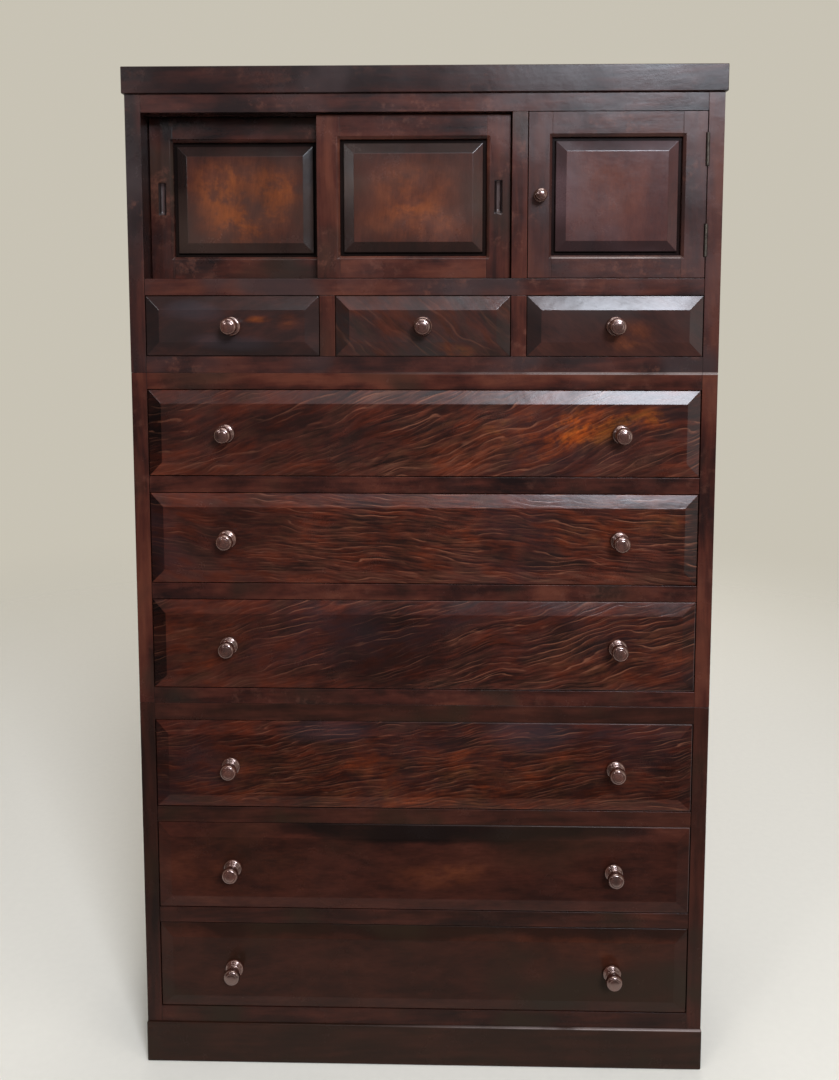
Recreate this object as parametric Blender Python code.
"""Tall dresser: three stacked cases on a plinth, under a crown board.

The upper case has two sliding doors, a hinged door and three small drawers. The middle and
lower cases have three wide drawers each. Lengths are in metres, +Z is up and the front faces
-Y. The origin is on the floor, in the middle of the overall box, which reaches from the
knobs in front to the back boards.
"""

from math import cos, pi, radians, sin
from typing import NamedTuple

import bmesh
import bpy
from mathutils import Matrix, Vector

# Clearances: between pieces that touch, and how far a cutter runs past what it cuts.
SEAT_GAP = 0.0003
CUT_OVER = 0.005
JOIN_OVERLAP = 0.004

# Cases: sides, and the boards that close each case above and below.
CASE_WIDTH = 1.060
CASE_DEPTH = 0.455
SIDE_THICKNESS = 0.028
LOWER_BOARD = 0.032
MIDDLE_BOARD = 0.0295
UPPER_FLOOR = 0.030
UPPER_HEAD = 0.032
BACK_THICKNESS = 0.006
BACK_LAP = 0.010

# Drawer rails, the shelf boards behind them, and the sill that carries the doors.
RAIL_HEIGHT = 0.030
RAIL_DEPTH = 0.036
SHELF_THICKNESS = 0.012
HOUSING_DEPTH = 0.006
SILL_HEIGHT = 0.030
SILL_DEPTH = 0.100
DIVIDER_WIDTH = 0.028

# Plinth below and crown board above.
PLINTH_HEIGHT = 0.080
PLINTH_BOARD = 0.024
PLINTH_FRONT_PROUD = 0.004
PLINTH_SIDE_PROUD = 0.0015
CROWN_HEIGHT = 0.047
CROWN_FRONT_PROUD = 0.006
CROWN_SIDE_PROUD = 0.004

# Heights of the openings in the front.
WIDE_DRAWER_HEIGHT = 0.170
TOP_WIDE_DRAWER_HEIGHT = 0.160
SMALL_DRAWER_HEIGHT = 0.110
DOOR_OPENING_HEIGHT = 0.293

# Drawer fronts, whose raised field stands proud of the case, and drawer boxes.
DRAWER_GAP = 0.0012
DRAWER_SETBACK = 0.001
DRAWER_BEVEL = 0.025
DRAWER_RISE = 0.007
DRAWER_EDGE = 0.016
DRAWER_LAP = 0.008
BOX_WALL = 0.012
BOX_BOTTOM = 0.007
BOX_HEADROOM = 0.020
BOX_REAR_GAP = 0.020

# Door frames and their raised panels, which a flat quirk sets off from the frame.
DOOR_THICKNESS = 0.026
DOOR_STILE = 0.042
DOOR_TOP_RAIL = 0.043
DOOR_BOTTOM_RAIL = 0.040
DOOR_CHAMFER = 0.005
PANEL_SETBACK = 0.001
PANEL_BEVEL = 0.019
PANEL_DROP = 0.005
PANEL_QUIRK = 0.006
PANEL_DEPTH = 0.011
PANEL_EDGE = 0.006
PANEL_TONGUE = 0.006

# Sliding doors: two tracks, the front one for the right door.
TRACK_SETBACK = 0.014
TRACK_PITCH = 0.032
TRACK_PLAY = 0.0006
SLIDING_OVERLAP = 0.038
SLIDING_SIDE_GAP = 0.002
SLIDING_FOOT_GAP = 0.001
SLIDING_HEAD_GAP = 0.002
TONGUE_WIDTH = 0.010
HEAD_TONGUE = 0.006
HEAD_GROOVE = 0.010
SILL_GROOVE = 0.004
PULL_WIDTH = 0.014
PULL_HEIGHT = 0.058
PULL_DEPTH = 0.012

# Hinged door and its two butt hinges.
HINGED_GAP = 0.0012
HINGE_LENGTH = 0.057
HINGE_INSET = 0.066
HINGE_PROUD = 0.001
LEAF_WIDTH = 0.018
LEAF_THICKNESS = 0.0015
KNUCKLE_RADIUS = 0.0028
KNUCKLE_PLAY = 0.0006
PIN_RADIUS = 0.0013
KNUCKLE_SEGMENTS = 12

# Turned knobs: a round flange, a neck and a rounded head, on a spigot glued into the wood. A wide
# drawer's knobs lie at the inset from the outside of the case's sides.
KNOB_INSET = 0.172
KNOB_LENGTH = 0.037
KNOB_FLANGE_RADIUS = 0.0176
KNOB_FLANGE_HEIGHT = 0.010
KNOB_NECK_RADIUS = 0.0130
KNOB_HEAD_RADIUS = 0.0157
KNOB_HEAD_HEIGHT = 0.015
KNOB_EDGE_ROUND = 0.0045
KNOB_DOME = 0.0012
DOOR_KNOB_LENGTH = 0.027
DOOR_KNOB_FLANGE_RADIUS = 0.0122
DOOR_KNOB_FLANGE_HEIGHT = 0.007
DOOR_KNOB_NECK_RADIUS = 0.0090
DOOR_KNOB_HEAD_RADIUS = 0.0112
DOOR_KNOB_HEAD_HEIGHT = 0.011
SPIGOT_RADIUS = 0.005
SPIGOT_LENGTH = 0.014
KNOB_SEGMENTS = 14
BEAD_STEPS = 4
SMOOTH_ANGLE = 50.0
MERGE_DISTANCE = 0.00001

# Places worked out from the sizes above.
KNOB_REACH = DRAWER_RISE - DRAWER_SETBACK + KNOB_LENGTH
FRONT = (KNOB_REACH - CASE_DEPTH) / 2
BACK = FRONT + CASE_DEPTH
BACK_INNER = BACK - BACK_THICKNESS
HALF_WIDTH = CASE_WIDTH / 2
INNER = HALF_WIDTH - SIDE_THICKNESS
KNOB_SPREAD = CASE_WIDTH - 2 * KNOB_INSET

SMALL_DRAWER_WIDTH = (2 * INNER - 2 * DIVIDER_WIDTH) / 3
PARTITION_LEFT = INNER - SMALL_DRAWER_WIDTH - DIVIDER_WIDTH
PARTITION_RIGHT = INNER - SMALL_DRAWER_WIDTH

LOWER_BASE = PLINTH_HEIGHT
LOWER_OPEN = LOWER_BASE + LOWER_BOARD
LOWER_CEILING = LOWER_OPEN + 3 * WIDE_DRAWER_HEIGHT + 2 * RAIL_HEIGHT
MIDDLE_BASE = LOWER_CEILING + LOWER_BOARD
MIDDLE_OPEN = MIDDLE_BASE + MIDDLE_BOARD
MIDDLE_CEILING = MIDDLE_OPEN + 2 * WIDE_DRAWER_HEIGHT + TOP_WIDE_DRAWER_HEIGHT + 2 * RAIL_HEIGHT
UPPER_BASE = MIDDLE_CEILING + MIDDLE_BOARD
UPPER_OPEN = UPPER_BASE + UPPER_FLOOR
SMALL_DRAWER_TOP = UPPER_OPEN + SMALL_DRAWER_HEIGHT
SILL_TOP = SMALL_DRAWER_TOP + SILL_HEIGHT
UPPER_CEILING = SILL_TOP + DOOR_OPENING_HEIGHT
UPPER_TOP = UPPER_CEILING + UPPER_HEAD
CROWN_TOP = UPPER_TOP + CROWN_HEIGHT

HINGE_X = INNER - HINGED_GAP / 2
HINGE_Y = FRONT - HINGE_PROUD
LEAF_FRONT = HINGE_Y + KNUCKLE_RADIUS + KNUCKLE_PLAY

# Finishes: colour, roughness and metallic value.
FINISHES = {
    "case_lacquer": ((0.040, 0.014, 0.010), 0.35, 0.0),
    "front_lacquer": ((0.058, 0.020, 0.011), 0.30, 0.0),
    "knob_lacquer": ((0.052, 0.027, 0.020), 0.18, 0.0),
    "drawer_box_wood": ((0.420, 0.290, 0.170), 0.70, 0.0),
    "back_board_wood": ((0.250, 0.150, 0.085), 0.75, 0.0),
    "hinge_metal": ((0.300, 0.240, 0.190), 0.45, 1.0),
}


class Rect(NamedTuple):
    """An upright rectangle, as seen from the front."""

    left: float
    right: float
    low: float
    high: float

    def grown(self, margin):
        return Rect(self.left - margin, self.right + margin, self.low - margin, self.high + margin)

    def corners(self):
        return (
            (self.left, self.low),
            (self.right, self.low),
            (self.right, self.high),
            (self.left, self.high),
        )


def beside(side, near, far, low, high):
    """A rectangle on one side of the middle: side is -1 for left and 1 for right."""
    left, right = sorted((side * near, side * far))
    return Rect(left, right, low, high)


# Meshes


def stacked(*sections):
    """A closed mesh through rectangles given as (y, rectangle), from the front to the back."""
    bm = bmesh.new()
    loops = []
    for y, rect in sections:
        loops.append([bm.verts.new((x, y, z)) for x, z in rect.corners()])
    bm.faces.new(loops[0])
    bm.faces.new(reversed(loops[-1]))
    for near, far in zip(loops, loops[1:]):
        for k in range(4):
            after = (k + 1) % 4
            bm.faces.new((near[k], far[k], far[after], near[after]))
    bmesh.ops.recalc_face_normals(bm, faces=bm.faces)
    return bm


def block(rect, front, back):
    return stacked((front, rect), (back, rect))


def gathered(meshes):
    """One mesh that holds several separate ones."""
    bm = bmesh.new()
    for part in meshes:
        mesh = bpy.data.meshes.new("gathered")
        part.to_mesh(mesh)
        part.free()
        bm.from_mesh(mesh)
        bpy.data.meshes.remove(mesh)
    return bm


def turned(profile, segments, towards_front=False):
    """A closed turned mesh from (radius, height) pairs, which start and end on the axis."""
    bm = bmesh.new()
    verts = [bm.verts.new((radius, 0, height)) for radius, height in profile]
    edges = [bm.edges.new(pair) for pair in zip(verts, verts[1:])]
    bmesh.ops.spin(
        bm, geom=verts + edges, axis=(0, 0, 1), cent=(0, 0, 0), angle=2 * pi, steps=segments
    )
    bmesh.ops.remove_doubles(bm, verts=bm.verts, dist=MERGE_DISTANCE)
    bmesh.ops.dissolve_degenerate(bm, edges=bm.edges, dist=MERGE_DISTANCE)
    if towards_front:
        quarter_turn = Matrix.Rotation(pi / 2, 3, "X")
        bmesh.ops.rotate(bm, verts=bm.verts, cent=(0, 0, 0), matrix=quarter_turn)
    bmesh.ops.recalc_face_normals(bm, faces=bm.faces)
    return bm


def moved(bm, place):
    bmesh.ops.translate(bm, vec=place, verts=bm.verts)
    return bm


def rod(radius, low, high, segments):
    """A cylinder along Z, with its axis at X = Y = 0."""
    return turned([(0, low), (radius, low), (radius, high), (0, high)], segments)


# Objects


def clear_scene():
    for obj in list(bpy.data.objects):
        bpy.data.objects.remove(obj)


def make_finishes():
    for name, (colour, roughness, metallic) in FINISHES.items():
        material = bpy.data.materials.new(name)
        material.use_nodes = True
        material.diffuse_color = (*colour, 1)
        shader = material.node_tree.nodes["Principled BSDF"]
        shader.inputs["Base Color"].default_value = (*colour, 1)
        shader.inputs["Roughness"].default_value = roughness
        shader.inputs["Metallic"].default_value = metallic


def add_axis(name, place, parent=None):
    """An empty on a joint's axis, which carries the pieces that move together."""
    axis = bpy.data.objects.new(name, None)
    axis.location = place
    axis.parent = parent
    bpy.context.scene.collection.objects.link(axis)
    return axis


def add_object(name, bm, parent):
    """An object with its origin in the middle of its mesh, placed under its parent."""
    points = [vert.co for vert in bm.verts]
    low = Vector([min(point[k] for point in points) for k in range(3)])
    high = Vector([max(point[k] for point in points) for k in range(3)])
    middle = (low + high) / 2
    mesh = bpy.data.meshes.new(name)
    moved(bm, -middle).to_mesh(mesh)
    bm.free()
    obj = bpy.data.objects.new(name, mesh)
    obj.parent = parent
    obj.location = middle - parent.location
    bpy.context.scene.collection.objects.link(obj)
    return obj


def add_piece(name, bm, finish, parent):
    piece = add_object(name, bm, parent)
    piece.data.materials.append(bpy.data.materials[finish])
    return piece


def add_turned_piece(name, bm, finish, parent):
    piece = add_piece(name, bm, finish, parent)
    piece.data.shade_smooth()
    piece.data.set_sharp_from_angle(angle=radians(SMOOTH_ANGLE))
    return piece


def use_helper(piece, operation, label, bm):
    """Joins a helper mesh to a piece, or cuts it from the piece, with a Boolean."""
    helper = add_object(f"{piece.name}_{label}", bm, piece.parent)
    helper.hide_render = True
    helper.display_type = "WIRE"
    modifier = piece.modifiers.new(label, "BOOLEAN")
    modifier.operation = operation
    modifier.solver = "EXACT"
    modifier.object = helper


def cut(piece, label, bm):
    use_helper(piece, "DIFFERENCE", label, bm)


def join(piece, label, bm):
    use_helper(piece, "UNION", label, bm)


# Plinth and crown


def make_plinth(case):
    outer = Rect(-HALF_WIDTH - PLINTH_SIDE_PROUD, HALF_WIDTH + PLINTH_SIDE_PROUD, 0, PLINTH_HEIGHT)
    front = FRONT - PLINTH_FRONT_PROUD
    plinth = add_piece("plinth", block(outer, front, BACK), "case_lacquer", case)
    inside = Rect(
        outer.left + PLINTH_BOARD,
        outer.right - PLINTH_BOARD,
        outer.low - CUT_OVER,
        outer.high + CUT_OVER,
    )
    cut(plinth, "inside", block(inside, front + PLINTH_BOARD, BACK - PLINTH_BOARD))


def make_crown(case):
    half = HALF_WIDTH + CROWN_SIDE_PROUD
    rect = Rect(-half, half, UPPER_TOP + SEAT_GAP, CROWN_TOP)
    add_piece("crown_board", block(rect, FRONT - CROWN_FRONT_PROUD, BACK), "case_lacquer", case)


# Cases


def make_carcass(name, base, top, opening_low, opening_high, shelves, case):
    """Two sides with a board above and below, glued, and the back board in its rebate.

    shelves gives (top, depth of the rail in front) for each shelf board, whose ends are housed
    in the sides.
    """
    outline = Rect(-HALF_WIDTH, HALF_WIDTH, base + SEAT_GAP, top)
    carcass = add_piece(f"{name}_carcass", block(outline, FRONT, BACK), "case_lacquer", case)
    opening = Rect(-INNER, INNER, opening_low, opening_high)
    rebate = opening.grown(BACK_LAP)
    rebate_front = BACK_INNER - SEAT_GAP
    inside = stacked(
        (FRONT - CUT_OVER, opening),
        (rebate_front, opening),
        (rebate_front, rebate),
        (BACK + CUT_OVER, rebate),
    )
    cut(carcass, "inside", inside)

    housings = []
    for shelf_top, rail_depth in shelves:
        low = shelf_top - SHELF_THICKNESS - SEAT_GAP
        high = shelf_top + SEAT_GAP
        start = FRONT + rail_depth - JOIN_OVERLAP - SEAT_GAP
        for side in (-1, 1):
            rect = beside(side, INNER - CUT_OVER, INNER + HOUSING_DEPTH, low, high)
            housings.append(block(rect, start, BACK_INNER))
    cut(carcass, "housings", gathered(housings))

    back = block(rebate.grown(-SEAT_GAP), BACK_INNER, BACK)
    add_piece(f"{name}_back", back, "back_board_wood", case)
    return carcass


def make_rail(name, top, height, depth, case):
    """A rail across the front with its shelf board, which carries what stands or slides on it."""
    reach = INNER - SEAT_GAP
    rail_rect = Rect(-reach, reach, top - height, top)
    rail = add_piece(name, block(rail_rect, FRONT, FRONT + depth), "case_lacquer", case)
    reach = INNER + HOUSING_DEPTH - SEAT_GAP
    shelf_rect = Rect(-reach, reach, top - SHELF_THICKNESS, top)
    shelf = block(shelf_rect, FRONT + depth - JOIN_OVERLAP, BACK_INNER - SEAT_GAP)
    join(rail, "shelf", shelf)
    return rail


def make_drawer_case(name, base, top, openings, case):
    """A case of wide drawers: its carcass, and a rail below each drawer but the lowest."""
    rail_tops = [low for low, _ in openings[1:]]
    shelves = [(rail_top, RAIL_DEPTH) for rail_top in rail_tops]
    make_carcass(name, base, top, openings[0][0], openings[-1][1], shelves, case)
    for label, rail_top in zip(("lower", "upper"), rail_tops):
        make_rail(f"{name}_rail_{label}", rail_top, RAIL_HEIGHT, RAIL_DEPTH, case)


def make_upper_case(case):
    shelves = [(SILL_TOP, SILL_DEPTH)]
    carcass = make_carcass(
        "upper_case", UPPER_BASE, UPPER_TOP, UPPER_OPEN, UPPER_CEILING, shelves, case
    )
    cut(carcass, "head_grooves", track_grooves(UPPER_CEILING - CUT_OVER, UPPER_CEILING + HEAD_GROOVE))
    cut(carcass, "hinge_mortises", hinge_mortises(1))
    cut(carcass, "knuckle_notches", knuckle_notches(1))

    sill = make_rail("cupboard_sill", SILL_TOP, SILL_HEIGHT, SILL_DEPTH, case)
    cut(sill, "tracks", track_grooves(SILL_TOP - SILL_GROOVE, SILL_TOP + CUT_OVER))

    upright_back = BACK_INNER - SEAT_GAP
    rect = Rect(PARTITION_LEFT, PARTITION_RIGHT, SILL_TOP + SEAT_GAP, UPPER_CEILING - SEAT_GAP)
    add_piece("cupboard_partition", block(rect, FRONT, upright_back), "case_lacquer", case)
    for side, label in ((-1, "left"), (1, "right")):
        low = UPPER_OPEN + SEAT_GAP
        high = SMALL_DRAWER_TOP - SEAT_GAP
        rect = beside(side, PARTITION_LEFT, PARTITION_RIGHT, low, high)
        # It meets the sill's thick front part, and the shelf board behind that passes over it.
        divider = block(rect, FRONT, upright_back)
        add_piece(f"small_drawer_divider_{label}", divider, "case_lacquer", case)


def track_grooves(low, high):
    """The two grooves that the sliding doors' tongues run in."""
    half = TONGUE_WIDTH / 2 + TRACK_PLAY
    grooves = []
    for face in (FRONT + TRACK_SETBACK, FRONT + TRACK_SETBACK + TRACK_PITCH):
        middle = face + DOOR_THICKNESS / 2
        rect = Rect(-INNER + SEAT_GAP / 2, PARTITION_LEFT - SEAT_GAP, low, high)
        grooves.append(block(rect, middle - half, middle + half))
    return gathered(grooves)


# Drawers


def turned_knob(length, flange_radius, flange_height, neck_radius, head_radius, head_height):
    """A knob that points to the front, with its seat at Y = 0 and its spigot behind that."""
    head_back = length - head_height
    profile = [(0, -SPIGOT_LENGTH), (SPIGOT_RADIUS, -SPIGOT_LENGTH), (SPIGOT_RADIUS, SEAT_GAP)]
    profile += rounded_edge(flange_radius, SEAT_GAP, flange_height)
    profile += [(neck_radius, (flange_height + head_back) / 2)]
    profile += rounded_edge(head_radius, head_back, length - KNOB_DOME)
    profile += [(0, length)]
    return turned(profile, KNOB_SEGMENTS, towards_front=True)


def rounded_edge(radius, low, high):
    """Points round the edge of a disc, from its back to its front."""
    middle = (low + high) / 2
    half = (high - low) / 2
    points = []
    for step in range(BEAD_STEPS + 1):
        angle = pi * (step / BEAD_STEPS - 0.5)
        points.append((radius - KNOB_EDGE_ROUND * (1 - cos(angle)), middle + half * sin(angle)))
    return points


def spigot_hole():
    """The cutter for a spigot's hole, with the seat at Y = 0."""
    radius = SPIGOT_RADIUS + SEAT_GAP
    depth = SPIGOT_LENGTH + SEAT_GAP
    profile = [(0, -depth), (radius, -depth), (radius, CUT_OVER), (0, CUT_OVER)]
    return turned(profile, KNOB_SEGMENTS, towards_front=True)


def drawer_knob():
    return turned_knob(
        KNOB_LENGTH,
        KNOB_FLANGE_RADIUS,
        KNOB_FLANGE_HEIGHT,
        KNOB_NECK_RADIUS,
        KNOB_HEAD_RADIUS,
        KNOB_HEAD_HEIGHT,
    )


def make_drawer(name, opening, knobs, case):
    """A drawer in its opening: knobs gives (name ending, X from the drawer's middle) for each."""
    middle_x = (opening.left + opening.right) / 2
    middle_z = (opening.low + opening.high) / 2
    slide = add_axis(f"{name}_slide", (middle_x, FRONT, middle_z), case)

    edge = opening.grown(-DRAWER_GAP)
    edge_front = FRONT + DRAWER_SETBACK
    edge_back = edge_front + DRAWER_EDGE
    field_front = edge_front - DRAWER_RISE
    box = Rect(edge.left, edge.right, opening.low + SEAT_GAP, opening.high - BOX_HEADROOM)
    lap = Rect(
        box.left + BOX_WALL + SEAT_GAP,
        box.right - BOX_WALL - SEAT_GAP,
        box.low + BOX_BOTTOM + SEAT_GAP,
        box.high,
    )
    front_mesh = stacked(
        (field_front, edge.grown(-DRAWER_BEVEL)),
        (edge_front, edge),
        (edge_back, edge),
        (edge_back, lap),
        (edge_back + DRAWER_LAP, lap),
    )
    front = add_piece(f"{name}_front", front_mesh, "front_lacquer", slide)

    box_back = BACK_INNER - BOX_REAR_GAP
    tray = add_piece(
        f"{name}_box", block(box, edge_back + SEAT_GAP, box_back), "drawer_box_wood", slide
    )
    inside = Rect(
        box.left + BOX_WALL, box.right - BOX_WALL, box.low + BOX_BOTTOM, box.high + CUT_OVER
    )
    cut(tray, "inside", block(inside, edge_back - CUT_OVER, box_back - BOX_WALL))

    holes = []
    for ending, offset in knobs:
        seat = Vector((middle_x + offset, field_front, middle_z))
        holes.append(moved(spigot_hole(), seat))
        add_turned_piece(f"{name}_{ending}", moved(drawer_knob(), seat), "knob_lacquer", slide)
    cut(front, "spigot_holes", gathered(holes))


def make_small_drawers(case):
    pitch = SMALL_DRAWER_WIDTH + DIVIDER_WIDTH
    half = SMALL_DRAWER_WIDTH / 2
    for place, label in ((-1, "left"), (0, "middle"), (1, "right")):
        middle = place * pitch
        opening = Rect(middle - half, middle + half, UPPER_OPEN, SMALL_DRAWER_TOP)
        make_drawer(f"small_drawer_{label}", opening, [("knob", 0)], case)


def make_wide_drawers(spans, case):
    """Wide drawers, numbered from the top, in the given (low, high) spans."""
    knobs = [("knob_left", -KNOB_SPREAD / 2), ("knob_right", KNOB_SPREAD / 2)]
    for number, (low, high) in enumerate(sorted(spans, reverse=True), start=1):
        make_drawer(f"wide_drawer_{number}", Rect(-INNER, INNER, low, high), knobs, case)


def spans_above(floor, heights):
    """(low, high) of openings that stand on each other, with a rail between."""
    spans = []
    for height in heights:
        spans.append((floor, floor + height))
        floor += height + RAIL_HEIGHT
    return spans


# Doors


def make_framed_panel(name, outline, face, parent):
    """A door's frame, its two stiles and two rails in one, round its raised panel."""
    frame = add_piece(
        f"{name}_frame", block(outline, face, face + DOOR_THICKNESS), "front_lacquer", parent
    )
    opening = Rect(
        outline.left + DOOR_STILE,
        outline.right - DOOR_STILE,
        outline.low + DOOR_BOTTOM_RAIL,
        outline.high - DOOR_TOP_RAIL,
    )
    groove = opening.grown(PANEL_TONGUE + SEAT_GAP)
    groove_front = face + PANEL_DEPTH - SEAT_GAP
    groove_back = face + PANEL_DEPTH + PANEL_EDGE + SEAT_GAP
    window = stacked(
        (face - CUT_OVER, opening.grown(DOOR_CHAMFER + CUT_OVER)),
        (face + DOOR_CHAMFER, opening),
        (groove_front, opening),
        (groove_front, groove),
        (groove_back, groove),
        (groove_back, opening),
        (face + DOOR_THICKNESS + CUT_OVER, opening),
    )
    cut(frame, "window", window)

    tongue = opening.grown(PANEL_TONGUE)
    raised = opening.grown(-PANEL_QUIRK)
    panel = stacked(
        (face + PANEL_SETBACK, raised.grown(-PANEL_BEVEL)),
        (face + PANEL_SETBACK + PANEL_DROP, raised),
        (face + PANEL_DEPTH, raised),
        (face + PANEL_DEPTH, tongue),
        (face + PANEL_DEPTH + PANEL_EDGE, tongue),
    )
    add_piece(f"{name}_panel", panel, "front_lacquer", parent)
    return frame


def make_sliding_door(name, side, left, right, face, case):
    """A sliding door with its tongues, and its finger pull in the stile on the given side."""
    outline = Rect(left, right, SILL_TOP + SLIDING_FOOT_GAP, UPPER_CEILING - SLIDING_HEAD_GAP)
    middle = face + DOOR_THICKNESS / 2
    slide = add_axis(f"{name}_slide", ((left + right) / 2, middle, outline.low), case)
    frame = make_framed_panel(name, outline, face, slide)

    foot = Rect(left, right, SILL_TOP - SILL_GROOVE + SEAT_GAP, outline.low + JOIN_OVERLAP)
    head = Rect(left, right, outline.high - JOIN_OVERLAP, UPPER_CEILING + HEAD_TONGUE)
    half = TONGUE_WIDTH / 2
    tongues = [block(rect, middle - half, middle + half) for rect in (foot, head)]
    join(frame, "tongues", gathered(tongues))

    stile_edge = right if side > 0 else left
    pull_x = stile_edge - side * DOOR_STILE / 2
    pull_z = (outline.low + outline.high) / 2
    pull = Rect(
        pull_x - PULL_WIDTH / 2,
        pull_x + PULL_WIDTH / 2,
        pull_z - PULL_HEIGHT / 2,
        pull_z + PULL_HEIGHT / 2,
    )
    cut(frame, "pull", block(pull, face - CUT_OVER, face + PULL_DEPTH))


def make_sliding_doors(case):
    opening_width = PARTITION_LEFT + INNER
    width = (opening_width + SLIDING_OVERLAP) / 2 - SLIDING_SIDE_GAP
    front_face = FRONT + TRACK_SETBACK
    left_edge = -INNER + SLIDING_SIDE_GAP
    right_edge = PARTITION_LEFT - SLIDING_SIDE_GAP
    make_sliding_door(
        "sliding_door_left", -1, left_edge, left_edge + width, front_face + TRACK_PITCH, case
    )
    make_sliding_door(
        "sliding_door_right", 1, right_edge - width, right_edge, front_face, case
    )


def hinged_door_outline():
    opening = Rect(PARTITION_RIGHT, INNER, SILL_TOP, UPPER_CEILING)
    return opening.grown(-HINGED_GAP)


def hinge_spans():
    """(low, high) of the lower and the upper hinge."""
    outline = hinged_door_outline()
    middles = (outline.low + HINGE_INSET, outline.high - HINGE_INSET)
    return [(middle - HINGE_LENGTH / 2, middle + HINGE_LENGTH / 2) for middle in middles]


def leaf_face(side):
    """X of the face that a leaf lies flush with: the case side's for 1, the door edge's for -1."""
    return HINGE_X + side * HINGED_GAP / 2


def hinge_mortises(side):
    """The shallow recesses for the leaves, in the case side for 1 and in the door's edge for -1."""
    face = leaf_face(side)
    depth = LEAF_THICKNESS + SEAT_GAP
    mortises = []
    for low, high in hinge_spans():
        left, right = sorted((face - side * CUT_OVER, face + side * depth))
        rect = Rect(left, right, low - SEAT_GAP, high + SEAT_GAP)
        mortises.append(block(rect, FRONT - CUT_OVER, FRONT + LEAF_WIDTH + SEAT_GAP))
    return gathered(mortises)


def knuckle_notches(side):
    """Room for the knuckles at the front edge, on the same sides."""
    face = leaf_face(side)
    depth = KNUCKLE_RADIUS + KNUCKLE_PLAY
    notches = []
    for low, high in hinge_spans():
        left, right = sorted((face - side * CUT_OVER, HINGE_X + side * depth))
        rect = Rect(left, right, low - SEAT_GAP, high + SEAT_GAP)
        notches.append(block(rect, FRONT - 2 * CUT_OVER, LEAF_FRONT))
    return gathered(notches)


def make_leaf(name, side, low, high, knuckles, parent):
    """A hinge leaf let into the case side or the door's edge, with knuckles round the pin's axis."""
    face = leaf_face(side)
    left, right = sorted((face, face + side * LEAF_THICKNESS))
    plate = block(Rect(left, right, low, high), LEAF_FRONT, FRONT + LEAF_WIDTH)
    leaf = add_piece(name, plate, "hinge_metal", parent)
    necks = []
    barrels = []
    for start, end in knuckles:
        neck_back = LEAF_FRONT + KNUCKLE_PLAY
        necks.append(block(Rect(left, right, start, end), HINGE_Y, neck_back))
        barrel = rod(KNUCKLE_RADIUS, start, end, KNUCKLE_SEGMENTS)
        barrels.append(moved(barrel, (HINGE_X, HINGE_Y, 0)))
    join(leaf, "necks", gathered(necks))
    join(leaf, "barrels", gathered(barrels))
    return leaf


def make_hinges(case, door):
    """Two butt hinges: outer knuckles and pin on the case leaf, middle knuckle on the door leaf."""
    third = HINGE_LENGTH / 3
    for label, (low, high) in zip(("lower", "upper"), hinge_spans()):
        outer = [(low, low + third - SEAT_GAP), (high - third + SEAT_GAP, high)]
        case_leaf = make_leaf(f"hinge_{label}_case_leaf", 1, low, high, outer, case)
        pin = rod(PIN_RADIUS, low + third / 2, high - third / 2, KNUCKLE_SEGMENTS)
        join(case_leaf, "pin", moved(pin, (HINGE_X, HINGE_Y, 0)))

        middle = [(low + third, high - third)]
        door_leaf = make_leaf(f"hinge_{label}_door_leaf", -1, low, high, middle, door)
        bore = rod(PIN_RADIUS + SEAT_GAP, low, high, KNUCKLE_SEGMENTS)
        cut(door_leaf, "bore", moved(bore, (HINGE_X, HINGE_Y, 0)))


def make_hinged_door(case):
    outline = hinged_door_outline()
    middle_z = (outline.low + outline.high) / 2
    axis = add_axis("hinged_door_axis", (HINGE_X, HINGE_Y, middle_z), case)
    frame = make_framed_panel("hinged_door", outline, FRONT, axis)
    cut(frame, "hinge_mortises", hinge_mortises(-1))
    cut(frame, "knuckle_notches", knuckle_notches(-1))

    seat = Vector((outline.left + DOOR_STILE / 2, FRONT, middle_z))
    cut(frame, "spigot_hole", moved(spigot_hole(), seat))
    knob = turned_knob(
        DOOR_KNOB_LENGTH,
        DOOR_KNOB_FLANGE_RADIUS,
        DOOR_KNOB_FLANGE_HEIGHT,
        DOOR_KNOB_NECK_RADIUS,
        DOOR_KNOB_HEAD_RADIUS,
        DOOR_KNOB_HEAD_HEIGHT,
    )
    add_turned_piece("hinged_door_knob", moved(knob, seat), "knob_lacquer", axis)
    make_hinges(case, axis)


def main():
    clear_scene()
    make_finishes()
    case = add_axis("dresser", (0, 0, 0))
    lower = spans_above(LOWER_OPEN, [WIDE_DRAWER_HEIGHT] * 3)
    middle = spans_above(MIDDLE_OPEN, [WIDE_DRAWER_HEIGHT] * 2 + [TOP_WIDE_DRAWER_HEIGHT])
    make_plinth(case)
    make_drawer_case("lower_case", LOWER_BASE, MIDDLE_BASE, lower, case)
    make_drawer_case("middle_case", MIDDLE_BASE, UPPER_BASE, middle, case)
    make_upper_case(case)
    make_crown(case)
    make_small_drawers(case)
    make_wide_drawers(lower + middle, case)
    make_sliding_doors(case)
    make_hinged_door(case)


main()
